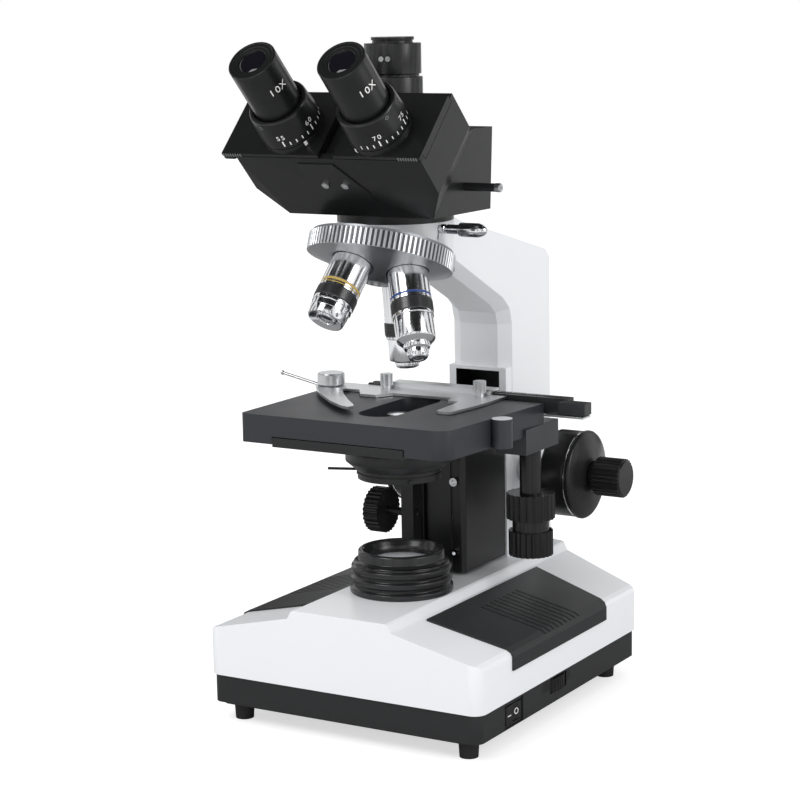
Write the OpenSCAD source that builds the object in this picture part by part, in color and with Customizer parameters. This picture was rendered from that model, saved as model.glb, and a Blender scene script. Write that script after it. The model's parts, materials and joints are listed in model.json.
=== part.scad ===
// Trinocular compound microscope.
// Units are millimetres. The origin lies on the optical axis at the underside of the bottom plate.
// +X is the user's right, -Y faces the user and +Z points up.

/* [Base] */
// Width of the base pan
base_w = 180; // [160:1:220]
// Front face of the base pan
base_front = -69.7; // [-80:0.1:-60]
// Where the sides of the base end
base_side_back = 128.8; // [110:0.1:140]
// Rear face of the base
base_back = 155.5; // [140:0.5:160]
// Half width of the flat rear face
base_back_half = 17; // [15:1:60]
// Corner radius of the base in plan
base_corner_r = 6; // [2:0.5:15]
// Height of the seam between pan and cover
seam_z = 19; // [12:0.5:26]
// How far the cover stands out past the pan
cover_lip = 1.5; // [0.5:0.1:3]
// Height of the raised middle of the cover
plateau_z = 64.7; // [55:0.1:75]
// Half width of the raised middle
plateau_half = 31.8; // [25:0.1:40]
// Height of the shoulders beside the raised middle
shoulder_in_z = 59.2; // [50:0.1:64]
// Height of the shoulders at the outer edge
shoulder_out_z = 47.2; // [40:0.1:58]
// Thickness of the bottom plate
plate_t = 2; // [1:0.1:4]
// Height of the rubber feet
foot_h = 9.6; // [4:0.1:14]
// Radius of the rubber feet
foot_r = 6; // [4:0.1:12]

/* [Hand pads] */
// Front end of the pads
pad_front = -33; // [-50:1:-20]
// Rear end of the pads on the side of the base
pad_back = 86; // [70:1:110]
// Thickness of the pads
pad_t = 1.2; // [0.6:0.1:2.5]
// Number of ribs on each pad
pad_ribs = 9; // [5:1:14]

/* [Lamp] */
// Outer radius at the foot of the lamp housing
lamp_r = 30; // [24:0.1:36]
// Height of the lamp housing above the base
lamp_h = 25.3; // [15:0.1:35]
// Radius of the lamp window
window_r = 20; // [12:0.5:24]

/* [Arm] */
// Front face of the upright
arm_front = 98; // [90:0.5:110]
// Rear face of the upright
arm_back = 154; // [140:0.5:165]
// Half width of the upright
arm_half = 20.5; // [15:0.5:30]
// Half width of the flat inner face
arm_inner_half = 13; // [8:0.5:20]
// Radius of the nose under the head
nose_r = 33.7; // [28:0.1:40]
// Height of the nose's top face
nose_top = 284.7; // [260:0.1:300]
// Top of the upright at its rear
arm_rear_top = 251; // [230:0.5:270]
// Top of the thicker lower part of the arm
boss_top = 184.5; // [160:0.5:200]
// Half width of the slot in the arm
slot_half = 15.2; // [10:0.1:18]
// Top of the slot in the arm
slot_top = 182.3; // [150:0.1:190]

/* [Focus] */
// Half width of the focus block
block_half = 19; // [15:0.5:24]
// Front face of the focus block
block_front = 43; // [35:0.5:50]
// Bottom of the focus block
block_bottom = 66.5; // [65:0.5:80]
// Height of the focus knobs' axis
knob_z = 118; // [100:0.5:140]
// Distance of the focus knobs' axis behind the optical axis
knob_y = 116; // [105:0.5:130]
// Radius of the coarse knob's flange
coarse_r = 28.3; // [20:0.1:34]
// Radius of the fine knob
fine_r = 12; // [8:0.1:18]
// Running gap of shafts in their bores
run_gap = 0.05; // [0.02:0.01:0.1]

/* [Stage] */
// Height of the stage's top face
stage_top_z = 172.65; // [160:0.05:185]
// Left edge of the stage
stage_left = -79.8; // [-90:0.1:-60]
// Right edge of the stage
stage_right = 66.4; // [50:0.1:80]
// Front edge of the stage
stage_front = -47.8; // [-60:0.1:-40]
// Rear edge of the stage
stage_back = 56; // [45:0.1:65]
// Height of the stage plate
stage_t = 17; // [10:0.5:25]
// Rightward distance of the drive shaft
drive_x = 57.8; // [45:0.1:65]
// Rearward distance of the drive shaft
drive_y = 55; // [40:0.1:70]

/* [Condenser] */
// Radius of the condenser holder
holder_r = 32; // [25:0.5:36]
// Radius of the condenser's lower ring
lower_ring_r = 24.9; // [18:0.1:28]
// Height of the joint between holder and lower ring
condenser_z = 139.5; // [130:0.5:150]

/* [Nosepiece] */
// Tilt of the turning axis
tilt = 21; // [12:0.5:30]
// Height where the turning axis meets the optical axis
apex_z = 310; // [295:0.5:325]
// Turned past its click by this angle
turret_turn = 10; // [-45:1:45]
// Radius of the ribbed rim
rim_r = 42.5; // [30:0.1:50]
// Distance of the rim's upper edge below the crossing of the axes
rim_z = 41.6; // [30:0.1:60]
// Height of the ribbed rim
rim_h = 10; // [5:0.1:15]
// Radius of the objective threads
thread_r = 10.16; // [9:0.01:12]
// Length of the objective threads
thread_len = 5; // [3:0.1:7]
// Distance of the objective seats below the crossing of the axes
seat_d = 60; // [50:0.1:70]

/* [Head] */
// Tilt of the eyepiece tubes
tube_tilt = 45; // [30:1:60]
// Front upper edge of the head
head_front = -72.5; // [-80:0.1:-60]
// Height of that edge
head_edge_z = 324.4; // [310:0.1:340]
// Half width of the head
head_half = 60; // [50:0.1:70]
// Depth of the sloping face
face_len = 49; // [40:0.1:60]
// Height of the head's underside
head_bottom = 290; // [285:0.1:300]
// Height of the flat top behind the sloping face
head_top = 337; // [325:0.1:350]
// Rear face of the head
head_back = 29; // [20:0.5:40]
// Half width of the head's lower part
head_low_half = 47.5; // [35:0.1:58]
// Half the distance between the eyepieces
eye_half = 28.4; // [27:0.1:38]
// Outer radius of the eyepieces
eye_r = 13; // [11:0.1:17]
// Distance of the eyepiece tops above the sloping face
eye_top = 58.6; // [45:0.1:75]
// Distance of the eyepiece axes from the front edge of the sloping face
eye_s = 18.6; // [12:0.1:25]
// Outer radius of the photo tube
port_r = 16.3; // [13:0.1:20]
// Height of the photo tube's cap
port_top = 388.8; // [370:0.1:400]

/* [Hidden] */
$fn = 64;
eps = 0.01;
half_w = base_w / 2;
cover_half = half_w + cover_lip;
cover_front = base_front - cover_lip;
foot_x = 76.3;
foot_front_y = -57;
foot_rear_y = 118;
pad_in = 38;
pad_back_in = 100;
pad_side_low = 36;
stage_low_z = stage_top_z - stage_t;
slide_z = 154.2;
slide_t = 5.6;
block_top = 152;
holder_top = 150;
bar_x = -20;
bar_w = 8.5;
bar_t = 9;
small_knob_y = 37;
small_knob_z = 102;
saddle_y = 27;
rail_y = 60;
rail_w = 9;
seat_bore_r = 24;
post_x = 67;
post_y = 3;
post_r = 6;
dovetail_gap = 0.3;

// Shared shapes

module tube(r_out, r_in, h) {
    difference() {
        cylinder(r = r_out, h = h);
        translate([0, 0, -1])
            cylinder(r = r_in, h = h + 2);
    }
}

module ribbed_disc(r, rib, count, h) {
    // Each rib has two outer and two inner corners
    corners = 4 * count;
    linear_extrude(h)
        polygon([for (i = [0 : corners - 1])
            let (reach = i % 4 < 2 ? r : r - rib, angle = (i + 0.5) * 360 / corners)
                [reach * cos(angle), reach * sin(angle)]]);
}

module along_x() {
    rotate([0, 90, 0])
        children();
}

module base_plan(half, front, side_back, back, back_half, r) {
    polygon([[-half, front + r], [-half + r, front], [half - r, front], [half, front + r],
        [half, side_back], [back_half, back], [-back_half, back], [-half, side_back]]);
    for (s = [-1, 1])
        translate([s * (half - r), front + r])
            circle(r = r);
}

module at_turret() {
    translate([0, 0, apex_z])
        rotate([180 - tilt, 0, 0])
            children();
}

module at_objective(turn) {
    at_turret()
        rotate([0, 0, turn])
            rotate([tilt, 0, 0])
                children();
}

module at_face() {
    translate([0, head_front, head_edge_z])
        rotate([tube_tilt, 0, 0])
            children();
}

module at_eye(side) {
    at_face()
        translate([side * eye_half, eye_s, 0])
            children();
}

// Base

module bottom_plate() {
    color([0.18, 0.19, 0.2])
        linear_extrude(plate_t)
            base_plan(half_w - 4, base_front + 4, base_side_back - 4, base_back - 4, base_back_half, 4);
}

module feet() {
    color([0.08, 0.08, 0.08])
        for (x = [-foot_x, foot_x])
            for (y = [foot_front_y, foot_rear_y])
                translate([x, y, -foot_h])
                    cylinder(r1 = foot_r - 0.6, r2 = foot_r, h = foot_h);
}

switch_y = -38.5;
switch_w = 20;
rocker_pivot = 2.5;
rocker_r = 9.2;
wheel_y = 26.6;
wheel_r = 22;
wheel_x = half_w + 2 - wheel_r;
wheel_z = 8.5;
wheel_h = 8;

module base_pan() {
    color([0.16, 0.17, 0.18])
        difference() {
            translate([0, 0, plate_t])
                linear_extrude(seam_z - plate_t)
                    base_plan(half_w, base_front, base_side_back, base_back - 1.5, base_back_half, base_corner_r);
            translate([half_w - 12, switch_y - 1, 2.6])
                cube([13, switch_w + 2, 14.4]);
            translate([wheel_x, wheel_y, wheel_z - 0.5])
                cylinder(r = wheel_r + 0.6, h = wheel_h + 1);
            translate([-16.3, base_back - 16, 3])
                cube([32.6, 16, 14]);
        }
}

module base_cover() {
    color([0.86, 0.88, 0.9])
        difference() {
            intersection() {
                translate([0, base_back + 1, 0])
                    rotate([90, 0, 0])
                        linear_extrude(base_back + 1 - cover_front)
                            polygon([[-cover_half, seam_z], [cover_half, seam_z],
                                [cover_half, shoulder_out_z - 3.4], [cover_half - 1, shoulder_out_z - 1.2],
                                [cover_half - 3.6, shoulder_out_z + 0.3],
                                [plateau_half + 4.6, shoulder_in_z], [plateau_half + 3, shoulder_in_z + 0.4],
                                [plateau_half + 0.6, plateau_z - 0.8], [plateau_half - 0.8, plateau_z],
                                [-plateau_half + 0.8, plateau_z], [-plateau_half - 0.6, plateau_z - 0.8],
                                [-plateau_half - 3, shoulder_in_z + 0.4], [-plateau_half - 4.6, shoulder_in_z],
                                [-cover_half + 3.6, shoulder_out_z + 0.3], [-cover_half + 1, shoulder_out_z - 1.2],
                                [-cover_half, shoulder_out_z - 3.4]]);
                linear_extrude(plateau_z + 1)
                    base_plan(cover_half, cover_front, base_side_back, base_back, base_back_half, base_corner_r + 1.5);
            }
            // Seats of the hand pads
            pad_solid(-0.6);
            mirror([1, 0, 0])
                pad_solid(-0.6);
            // Foot of the arm
            arm_foot(0);
        }
}

module pad_plan() {
    polygon([[pad_in, pad_front - 3.5], [cover_half + 4, pad_front], [cover_half + 4, pad_back],
        [pad_in, pad_back_in]]);
}

module pad_section(lift) {
    slope = (shoulder_in_z - shoulder_out_z - 0.3) / (plateau_half + 8.2 - cover_half);
    polygon([[pad_in - 1, shoulder_in_z + (pad_in - plateau_half - 5.6) * slope + lift],
        [cover_half - 3.6, shoulder_out_z + 0.3 + lift],
        [cover_half - 1 + lift * 0.7, shoulder_out_z - 1.2 + lift * 0.7],
        [cover_half + lift, shoulder_out_z - 3.4], [cover_half + lift, pad_side_low],
        [cover_half - 3, pad_side_low], [cover_half - 3, shoulder_out_z - 4],
        [cover_half - 6, shoulder_out_z - 2.4],
        [pad_in - 1, shoulder_in_z + (pad_in - plateau_half - 5.6) * slope - 3]]);
}

module pad_solid(lift) {
    intersection() {
        translate([0, pad_back_in + 1, 0])
            rotate([90, 0, 0])
                linear_extrude(pad_back_in - pad_front + 6)
                    pad_section(lift + 0.6);
        translate([0, 0, pad_side_low])
            linear_extrude(40)
                pad_plan();
    }
}

module right_pad() {
    color([0.13, 0.13, 0.14])
        difference() {
            pad_solid(pad_t - 0.6);
            for (i = [0 : pad_ribs - 1])
                translate([pad_in + 7, 8 + i * 5.4, shoulder_out_z - 6])
                    rotate([0, 12.6, 0])
                        translate([0, 0, 14.2])
                            cube([44, 1.4, 4]);
        }
}

module left_pad() {
    mirror([1, 0, 0])
        right_pad();
}

module switch_frame() {
    color([0.1, 0.1, 0.11])
        translate([half_w - 11.9, switch_y - 0.9, 2.7])
            difference() {
                cube([11.2, switch_w + 1.8, 14.2]);
                translate([1.5, 1.4, 1.4])
                    cube([10, switch_w - 1, 11.4]);
            }
}

module rocker_switch() {
    color([0.12, 0.12, 0.13])
        difference() {
            intersection() {
                translate([half_w - 8.5, switch_y + 0.8, 4.6])
                    cube([8.2, switch_w - 1.6, 10.4]);
                // Round about its pivot, so that it clears the frame
                translate([half_w - rocker_pivot, switch_y + switch_w / 2, 4])
                    cylinder(r = rocker_r, h = 12);
            }
            translate([half_w - 1.2, switch_y + 9.2, 2])
                rotate([0, 0, -8])
                    cube([3, 14, 16]);
        }
}

module brightness_wheel() {
    color([0.12, 0.12, 0.13])
        translate([wheel_x, wheel_y, wheel_z])
            ribbed_disc(wheel_r, 0.6, 48, wheel_h);
}

module power_inlet() {
    color([0.1, 0.1, 0.1])
        translate([0, base_back - 1.6, 10])
            difference() {
                translate([-16, -14, -6.7])
                    cube([32, 14.6, 13.4]);
                translate([-12.5, -11, -4.8])
                    cube([25, 16, 9.6]);
            }
}

// Lamp

module lamp_housing() {
    color([0.1, 0.1, 0.11])
        translate([0, 0, plateau_z])
            rotate_extrude()
                polygon([[window_r + 0.2, 0], [lamp_r + 0.7, 0], [lamp_r + 0.7, 3.2], [lamp_r - 1, 4.2],
                    [lamp_r - 1, 6], [lamp_r + 0.2, 7], [lamp_r + 0.2, 9.6], [lamp_r - 1.2, 10.6],
                    [lamp_r - 1.2, 12.2], [lamp_r - 0.2, 13.2], [lamp_r - 0.2, 15.8], [lamp_r - 1.6, 16.8],
                    [lamp_r - 1.6, 18], [lamp_r - 3, 19.2], [lamp_r - 4.4, 19.8], [lamp_r - 4.4, 24.3],
                    [lamp_r - 5.4, lamp_h], [lamp_r - 6.8, lamp_h], [window_r + 0.2, lamp_h - 5.4],
                    [window_r + 0.2, lamp_h - 6]]);
}

module lamp_window() {
    color([0.85, 0.88, 0.9])
        translate([0, 0, plateau_z])
            intersection() {
                cylinder(r = window_r - 0.1, h = lamp_h - 4);
                translate([0, 0, lamp_h - 4.6 - 66])
                    sphere(r = 66);
            }
}

// Arm

module arm_foot(grow) {
    translate([-arm_half - grow, arm_front - grow, plateau_z - 12])
        cube([2 * arm_half + 2 * grow, arm_back - arm_front + 2 * grow, 12 + eps]);
}

// Inner edge of the arm from its foot to the nose, as [Y, Z]
inner_edge = [[arm_front, plateau_z - 12], [arm_front, 211], [95.6, 218.6], [89, 224.4], [36, 251.3]];
bevel_depth = 5.3;
bevel_slope = bevel_depth / (arm_half - arm_inner_half);
bevel_reach = 300;

// All that lies outside the bevel of one stretch of the inner edge
module beyond_bevel(i, side) {
    start = inner_edge[i];
    way = inner_edge[i + 1] - start;
    translate([0, start[0], start[1]])
        rotate([atan2(-way[0], way[1]), 0, 0])
            translate([0, 0, -bevel_reach])
                linear_extrude(2 * bevel_reach)
                    polygon([[side * (arm_inner_half - bevel_reach), -bevel_reach * bevel_slope],
                        [side * (arm_inner_half + bevel_reach), -bevel_reach * bevel_slope],
                        [side * (arm_inner_half + bevel_reach), bevel_reach * bevel_slope]]);
}

module inner_bevels() {
    for (side = [-1, 1])
        intersection_for (i = [0 : len(inner_edge) - 2])
            beyond_bevel(i, side);
}

module arm_side() {
    polygon([[-4, nose_top - 30], [34, 252.4], [41, 248.6], [89, 224.4], [95.6, 218.6], [arm_front, 211],
        [arm_front, plateau_z - 12], [arm_back, plateau_z - 12], [arm_back, arm_rear_top - 3.4],
        [arm_back - 5, arm_rear_top + 2], [76, 272], [42, 280.2], [31, nose_top], [-4, nose_top]]);
}

module arm() {
    color([0.86, 0.88, 0.9])
        difference() {
            union() {
                intersection() {
                    rotate([90, 0, 90])
                        translate([0, 0, -nose_r])
                            linear_extrude(2 * nose_r)
                                arm_side();
                    union() {
                        difference() {
                            translate([-arm_half, -nose_r, plateau_z - 13])
                                cube([2 * arm_half, nose_r + arm_back, nose_top]);
                            inner_bevels();
                        }
                        translate([0, 0, 200])
                            cylinder(r = nose_r, h = 100);
                    }
                }
                // Round nose
                intersection() {
                    translate([0, 0, 200])
                        cylinder(r = nose_r, h = nose_top - 200);
                    at_turret()
                        translate([0, 0, -40])
                            cylinder(r = 60, h = rim_z - 1.8 + 40);
                }
                // Thick lower part
                translate([-arm_inner_half - 7, arm_front - 2.5, plateau_z])
                    cube([2 * arm_inner_half + 14, 12, boss_top - plateau_z]);
            }
            // Slot in front of the lower part
            translate([-slot_half, arm_front - 14, plateau_z + 1])
                cube([2 * slot_half, 14 + 16, slot_top - plateau_z - 1]);
            // Seat of the head
            translate([0, 0, nose_top - 6.2])
                cylinder(r = seat_bore_r + dovetail_gap, h = 8);
            translate([0, -6, nose_top - 3.7])
                along_x()
                    cylinder(r = 1.95, h = 60);
            // Bore of the focus shafts
            translate([-60, knob_y, knob_z])
                along_x()
                    cylinder(r = 8 + run_gap, h = 120);
            // Light path through the nose
            cylinder(r = 10, h = 400);
            // Seat of the nosepiece mount
            at_turret()
                translate([0, 0, rim_z - 1.8])
                    cylinder(r = 46, h = 60);
        }
}

module dovetail_ring() {
    color([0.09, 0.09, 0.1])
        translate([0, 0, nose_top])
            tube(nose_r, seat_bore_r + dovetail_gap, head_bottom - nose_top - 0.2);
}

module nosepiece_mount() {
    color([0.35, 0.36, 0.38])
        difference() {
            at_turret() {
                translate([0, 0, rim_z - 1.7])
                    cylinder(r = 41, h = 1.3);
                translate([0, 0, rim_z - 1])
                    cylinder(r = 6, h = 18);
            }
            cylinder(r = 10, h = 400);
        }
}

module head_screw() {
    color([0.8, 0.8, 0.82])
        translate([0, -6, nose_top - 3.7]) {
            translate([24.6, 0, 0])
                along_x()
                    cylinder(r = 1.85, h = 18);
            translate([41, 0, 0])
                along_x()
                    cylinder(r = 4.2, h = 15);
            translate([56, 0, 0])
                intersection() {
                    sphere(r = 4.2);
                    translate([0, -5, -5])
                        cube([10, 10, 10]);
                }
        }
}

// Focus

module focus_block() {
    color([0.15, 0.16, 0.17])
        difference() {
            union() {
                translate([-block_half, block_front, block_bottom])
                    cube([2 * block_half, arm_front - 3 - block_front, block_top - block_bottom]);
                translate([-slot_half + 0.5, arm_front - 4, block_bottom + 4])
                    cube([2 * slot_half - 1, 5, block_top - block_bottom - 4]);
            }
            // Bevelled front edges
            for (s = [-1, 1])
                translate([s * block_half, block_front, block_bottom - 1])
                    rotate([0, 0, 45])
                        translate([-1.6, -1.6, 0])
                            cube([3.2, 3.2, 200]);
            // Groove in front
            translate([-9.5, block_front - 1, block_bottom - 1])
                cube([3, 5, 200]);
            translate([9.6, block_front - 1, block_bottom - 1])
                cube([block_half - 13.6, 2.4, 200]);
        }
}

module block_screws() {
    color([0.8, 0.8, 0.82])
        for (z = [block_bottom + 12, block_bottom + 56])
            translate([12.3, block_front + 1.4, z])
                rotate([90, 0, 0])
                    difference() {
                        cylinder(r = 2.6, h = 3);
                        translate([0, 0, 1.4])
                            cylinder(r = 1.3, h = 3, $fn = 6);
                    }
}

module condenser_rail() {
    color([0.17, 0.18, 0.19])
        difference() {
            translate([bar_x, block_front - bar_t, block_bottom + 5])
                cube([bar_w, bar_t, block_top - block_bottom - 5]);
            translate([bar_x - 1, small_knob_y, small_knob_z])
                along_x()
                    cylinder(r = 2.5 + run_gap, h = bar_w + 2);
        }
}

module stage_base() {
    color([0.14, 0.15, 0.16])
        difference() {
            union() {
                translate([-57.5, stage_front - 0.6, slide_z])
                    cube([57.5 + 31, 108, slide_t]);
                translate([-block_half, block_front + 1, block_top])
                    cube([2 * block_half, 16, slide_z - block_top + 1]);
            }
            translate([0, 0, slide_z - 2])
                cylinder(r = 33, h = 10);
        }
}

coarse_in = 45;

module coarse_shaft() {
    color([0.6, 0.61, 0.63])
        translate([-coarse_in - 2, knob_y, knob_z])
            along_x()
                tube(8, 4 + run_gap, 2 * coarse_in + 4);
}

module right_coarse_knob() {
    color([0.1, 0.1, 0.11])
        translate([coarse_in, knob_y, knob_z])
            along_x()
                difference() {
                    union() {
                        ribbed_disc(coarse_r - 2.8, 0.9, 30, 15.4);
                        translate([0, 0, 15.3])
                            cylinder(r = coarse_r - 4.4, h = 2.2);
                        translate([0, 0, 17.2])
                            rotate_extrude()
                                polygon([[0, 0], [coarse_r - 0.6, 0], [coarse_r, 0.6], [coarse_r, 3.2],
                                    [coarse_r - 1, 4.4], [15, 6.4], [11, 7.2], [0, 7.2]]);
                    }
                    translate([0, 0, -1])
                        cylinder(r = 8.02, h = 3);
                    cylinder(r = 4.6, h = 60);
                }
}

module left_coarse_knob() {
    mirror([1, 0, 0])
        right_coarse_knob();
}

fine_in = coarse_in + 25.2;
fine_out = 92;

module fine_shaft() {
    color([0.7, 0.71, 0.73])
        translate([-fine_in, knob_y, knob_z])
            along_x()
                cylinder(r = 4, h = 2 * fine_in);
}

module right_fine_knob() {
    color([0.1, 0.1, 0.11])
        translate([fine_in, knob_y, knob_z])
            along_x() {
                cylinder(r = fine_r - 3, h = 3.4);
                translate([0, 0, 3.3])
                    ribbed_disc(fine_r, 0.6, 28, fine_out - fine_in - 4.2);
                translate([0, 0, fine_out - fine_in - 1])
                    cylinder(r1 = fine_r - 0.9, r2 = fine_r - 1.6, h = 1);
            }
}

module left_fine_knob() {
    mirror([1, 0, 0])
        right_fine_knob();
}

// Stage

// Long opening for the light
opening_x = -5;
opening_r = 13;
opening_front = -12;
opening_back = 32;

module stage_plan() {
    polygon([[stage_left, stage_front + 3], [stage_left + 3, stage_front], [stage_right - 17, stage_front],
        [stage_right - 7, stage_front + 10], [stage_right, stage_back], [stage_left, stage_back]]);
    translate([stage_left + 3, stage_front + 3])
        circle(r = 3);
    translate([stage_right - 17, stage_front + 10])
        circle(r = 10);
}

module stage_plate() {
    color([0.27, 0.28, 0.3])
        difference() {
            union() {
                translate([0, 0, stage_low_z])
                    linear_extrude(stage_t)
                        stage_plan();
                // Drive bracket
                translate([46.5, 33.5, 145])
                    cube([stage_right - 46.5, 41.5, stage_top_z - 12.3 - 145]);
            }
            // Channel of the stage base
            translate([-58, stage_front - 1, stage_low_z - 1])
                cube([58 + 31.5, 200, 1 + slide_z + slide_t + 0.4 - stage_low_z]);
            // Opening for the light
            translate([0, 0, stage_low_z - 1])
                linear_extrude(stage_t + 2)
                    union() {
                        for (y = [opening_front, opening_back])
                            translate([opening_x, y])
                                circle(r = opening_r);
                        translate([opening_x - opening_r, opening_front])
                            square([2 * opening_r, opening_back - opening_front]);
                    }
            // Seat of the stage post
            translate([post_x, post_y, stage_low_z - 1])
                cylinder(r = post_r + 0.1, h = stage_t + 2);
            // Bore of the drive shafts
            translate([drive_x, drive_y, 140])
                cylinder(r = 6.5 + run_gap, h = 22);
        }
}

module stage_post() {
    color([0.15, 0.16, 0.17])
        translate([post_x, post_y, stage_low_z])
            cylinder(r = post_r, h = stage_t);
}

rail_rise = 2.8;

module slide_rail() {
    color([0.13, 0.14, 0.15])
        difference() {
            union() {
                translate([-58, rail_y, stage_top_z - 7])
                    cube([138, rail_w, 7 + rail_rise]);
                translate([77.8, rail_y - 8, stage_top_z - 5])
                    cube([17.7, 9, 7.2]);
                translate([-58, stage_back, stage_top_z - 12])
                    cube([122, rail_y - stage_back + 1, 9]);
            }
            translate([-60, rail_y + 3, stage_top_z + rail_rise - 2.4])
                cube([134, 2.6, 6]);
        }
}

module scale_strip() {
    color([0.75, 0.76, 0.78])
        translate([70, rail_y - 11.5, stage_top_z - 6.2])
            cube([26, 10, 1.1]);
}

module forward_knob() {
    color([0.1, 0.1, 0.11])
        translate([drive_x, drive_y, 0])
            difference() {
                union() {
                    translate([0, 0, 102.6])
                        ribbed_disc(14.6, 0.8, 20, 15.6);
                    translate([0, 0, 117.8])
                        cylinder(r = 6.5, h = 40);
                }
                translate([0, 0, 90])
                    cylinder(r = 3 + run_gap, h = 80);
            }
}

module sideways_knob() {
    color([0.1, 0.1, 0.11])
        translate([drive_x, drive_y, 0]) {
            translate([0, 0, 80.4])
                ribbed_disc(13.4, 0.7, 24, 15);
            translate([0, 0, 95.2])
                cylinder(r = 11, h = 7);
            translate([0, 0, 95])
                cylinder(r = 3, h = 60);
        }
}

holder_z = stage_top_z + 0.4;
pivot_x = -70.7;
pivot_y = 37.6;

module slide_holder() {
    color([0.78, 0.79, 0.81])
        difference() {
            union() {
                translate([0, 0, holder_z])
                    linear_extrude(1.6)
                        union() {
                            polygon([[-76, 50], [-72, 40], [-52, 40], [-44, 28], [-33, 28], [-27, 38.5],
                                [13, 39.5], [16, 30], [23, 30], [24.5, 22], [26, -1], [28, -2.5], [34, -2.5],
                                [36.1, -1], [39, 20], [40, 34], [40, 59], [-76, 59]]);
                            translate([pivot_x, pivot_y])
                                circle(r = 8);
                        }
                translate([-40, 58, holder_z])
                    cube([70, rail_y + rail_w - 58 - 1, 4.6]);
            }
            translate([-62, rail_y - 0.3, holder_z - 1])
                cube([120, rail_w + 1, rail_rise + 1.2]);
        }
}

module holder_screws() {
    color([0.82, 0.82, 0.84])
        for (x = [-40.8, 24.4])
            translate([x, 54, holder_z + 1.6]) {
                cylinder(r = 3, h = 1.7);
                translate([0, 0, 1.6])
                    ribbed_disc(3.9, 0.3, 24, 7.2);
            }
}

module clamp_finger() {
    color([0.8, 0.81, 0.83])
        difference() {
            union() {
                translate([0, 0, holder_z + 2])
                    linear_extrude(1.6)
                        polygon([[-75, 46], [-80, 42], [-82, 37], [-72, 23], [-60, 9], [-42, -9], [-27, -20.5],
                            [-21, -22.5], [-20, -18], [-23, -13.5], [-35, -0.5], [-48, 15.5], [-58, 30], [-62, 41],
                            [-67, 46]]);
                // Thin tail
                translate([pivot_x - 7, pivot_y - 0.4, holder_z + 2.9])
                    rotate([0, 0, 184])
                        rotate([0, -13, 0])
                            along_x() {
                                cylinder(r = 0.9, h = 28);
                                translate([0, 0, 28])
                                    sphere(r = 1.4);
                            }
            }
            translate([pivot_x, pivot_y, holder_z])
                cylinder(r = 2.5 + run_gap, h = 8);
        }
}

module clamp_knob() {
    color([0.8, 0.81, 0.83]) {
        translate([pivot_x, pivot_y, holder_z + 3.8])
            rotate_extrude()
                polygon([[0, 0], [7.6, 0], [8.4, 0.8], [8.4, 6.8], [7.8, 7.6], [0, 7.6]]);
        translate([pivot_x, pivot_y, holder_z + 1.7])
            cylinder(r = 2.5, h = 3);
    }
}

// Condenser

top_lens_r = 7;
top_lens_z = 31;

module condenser_holder() {
    color([0.13, 0.14, 0.15])
        difference() {
            union() {
                translate([0, 0, condenser_z])
                    rotate_extrude()
                        polygon([[22, 0], [holder_r - 5, 0], [holder_r, 4.4], [holder_r, holder_top - condenser_z],
                            [18, holder_top - condenser_z], [18, 13], [top_lens_r, 18.5],
                            [top_lens_r, top_lens_z], [top_lens_r - 1.6, top_lens_z], [top_lens_r - 1.6, 18.8],
                            [14.4, 12.4], [14.4, 9.3], [22, 9.3]]);
                translate([-10.5, 20, condenser_z + 1])
                    cube([19.4, block_front - 1 - 20, holder_top - condenser_z - 1]);
                // Saddle in front of the rail, clear of the lower ring
                translate([bar_x - 3, saddle_y, condenser_z - 8])
                    cube([12, block_front - bar_t - 0.4 - saddle_y, 14]);
            }
            translate([0, 0, condenser_z - 9])
                cylinder(r = 22 + run_gap, h = 9 + 9.3);
        }
}

module condenser_ring() {
    color([0.11, 0.12, 0.13])
        translate([0, 0, condenser_z - 6.4])
            difference() {
                cylinder(r = lower_ring_r, h = 6.3);
                translate([0, 0, -1])
                    cylinder(r = 15, h = 20);
                translate([0, 0, 3.4])
                    tube(lower_ring_r + 1, lower_ring_r - 0.8, 0.9);
            }
}

module condenser_lens() {
    color([0.75, 0.8, 0.83])
        translate([0, 0, condenser_z - 3])
            union() {
                cylinder(r = 14.9, h = 3);
                translate([0, 0, 3])
                    cylinder(r = 21.9, h = 9);
                translate([0, 0, 12])
                    cylinder(r1 = 14, r2 = 12, h = 3);
                translate([0, 0, top_lens_z + 3 - 2.3])
                    cylinder(r = top_lens_r - 1.65, h = 2);
            }
}

module centring_screws() {
    color([0.8, 0.8, 0.82])
        for (a = [-45, -165])
            rotate([0, 0, a])
                translate([lower_ring_r, 0, condenser_z - 5])
                    along_x()
                        cylinder(r = 1.2, h = 1.4, $fn = 24);
}

module condenser_knob() {
    color([0.1, 0.1, 0.11])
        translate([0, small_knob_y, small_knob_z]) {
            translate([-41, 0, 0])
                along_x()
                    ribbed_disc(14, 0.7, 28, 10);
            translate([-31.2, 0, 0])
                along_x()
                    cylinder(r = 2.5, h = 31.2 + bar_x + bar_w - 1);
        }
}

module iris_lever() {
    color([0.7, 0.7, 0.72])
        rotate([0, 0, 200])
            translate([lower_ring_r + 0.4, 0, condenser_z - 2.6])
                along_x()
                    cylinder(r = 0.8, h = 18, $fn = 24);
}

// Nosepiece

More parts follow.
